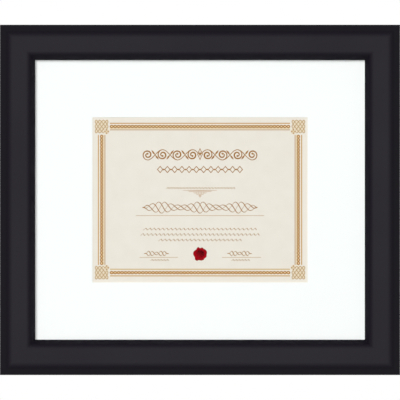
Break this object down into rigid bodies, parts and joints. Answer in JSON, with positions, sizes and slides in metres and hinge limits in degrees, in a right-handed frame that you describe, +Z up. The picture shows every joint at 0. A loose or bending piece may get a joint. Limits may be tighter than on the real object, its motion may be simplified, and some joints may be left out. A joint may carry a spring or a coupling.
{
  "type": "picture frame",
  "caption": "Wall-hung picture frame with a wide bevelled black moulding, white window mat, cream certificate with a red seal, glass, and a back held by turn buttons.",
  "frame": {"origin": "where the wall nail bears in the middle notch of the hanger, on the wall's plane", "axes": "+X to the right seen from the front, +Y out of the back into the wall, +Z up; the front faces -Y"},
  "size_m": [0.508, 0.0294, 0.4445],
  "materials": {
    "black_moulding": "satin black lacquer, bare wood behind",
    "clear_glass": "clear, polished",
    "white_mat": "smooth matt board",
    "cream_paper": "matt, printed border",
    "red_wax": "semi-gloss wax",
    "linen_tape": "woven, matt",
    "mount_board": "matt board",
    "corrugated_board": "kraft, matt",
    "hardboard": "pressed fibre, smooth",
    "zinc_plate": "zinc plated",
    "bright_steel": "bright drawn steel",
    "grey_rubber": "matt rubber"
  },
  "bodies": {
    "frame": {"top_rail": "black_moulding", "bottom_rail": "black_moulding", "left_rail": "black_moulding", "right_rail": "black_moulding", "v_nail_top_left_outer": "bright_steel", "v_nail_top_left_inner": "bright_steel", "v_nail_top_right_outer": "bright_steel", "v_nail_top_right_inner": "bright_steel", "v_nail_bottom_left_outer": "bright_steel", "v_nail_bottom_left_inner": "bright_steel", "v_nail_bottom_right_outer": "bright_steel", "v_nail_bottom_right_inner": "bright_steel", "glazing": "clear_glass", "mat_board": "white_mat", "certificate": "cream_paper", "wax_seal": "red_wax", "hinge_tape_left": "linen_tape", "hinge_tape_right": "linen_tape", "mount_board": "mount_board", "filler_board": "corrugated_board", "back_panel": "hardboard", "button_screw_top_left": "zinc_plate", "button_screw_top_right": "zinc_plate", "button_screw_bottom_left": "zinc_plate", "button_screw_bottom_right": "zinc_plate", "button_screw_left_upper": "zinc_plate", "button_screw_left_lower": "zinc_plate", "button_screw_right_upper": "zinc_plate", "button_screw_right_lower": "zinc_plate", "hanger": "zinc_plate", "hanger_nail_left": "bright_steel", "hanger_nail_right": "bright_steel", "bumper_left": "grey_rubber", "bumper_right": "grey_rubber"},
    "button_top_left": {"turn_button_top_left": "zinc_plate"},
    "button_top_right": {"turn_button_top_right": "zinc_plate"},
    "button_bottom_left": {"turn_button_bottom_left": "zinc_plate"},
    "button_bottom_right": {"turn_button_bottom_right": "zinc_plate"},
    "button_left_upper": {"turn_button_left_upper": "zinc_plate"},
    "button_left_lower": {"turn_button_left_lower": "zinc_plate"},
    "button_right_upper": {"turn_button_right_upper": "zinc_plate"},
    "button_right_lower": {"turn_button_right_lower": "zinc_plate"}
  },
  "joints": [
    {"name": "turn_top_left", "type": "hinge", "parent": "frame", "child": "button_top_left", "pos_m": [-0.12155, -0.0031, -0.00645], "axis": [0, 1, 0], "continuous": true},
    {"name": "turn_top_right", "type": "hinge", "parent": "frame", "child": "button_top_right", "pos_m": [0.12155, -0.0031, -0.00645], "axis": [0, 1, 0], "continuous": true},
    {"name": "turn_bottom_left", "type": "hinge", "parent": "frame", "child": "button_bottom_left", "pos_m": [-0.12155, -0.0031, -0.39405], "axis": [0, 1, 0], "continuous": true},
    {"name": "turn_bottom_right", "type": "hinge", "parent": "frame", "child": "button_bottom_right", "pos_m": [0.12155, -0.0031, -0.39405], "axis": [0, 1, 0], "continuous": true},
    {"name": "turn_left_upper", "type": "hinge", "parent": "frame", "child": "button_left_upper", "pos_m": [-0.22555, -0.0031, -0.11045], "axis": [0, 1, 0], "continuous": true},
    {"name": "turn_left_lower", "type": "hinge", "parent": "frame", "child": "button_left_lower", "pos_m": [-0.22555, -0.0031, -0.29005], "axis": [0, 1, 0], "continuous": true},
    {"name": "turn_right_upper", "type": "hinge", "parent": "frame", "child": "button_right_upper", "pos_m": [0.22555, -0.0031, -0.11045], "axis": [0, 1, 0], "continuous": true},
    {"name": "turn_right_lower", "type": "hinge", "parent": "frame", "child": "button_right_lower", "pos_m": [0.22555, -0.0031, -0.29005], "axis": [0, 1, 0], "continuous": true}
  ]
}
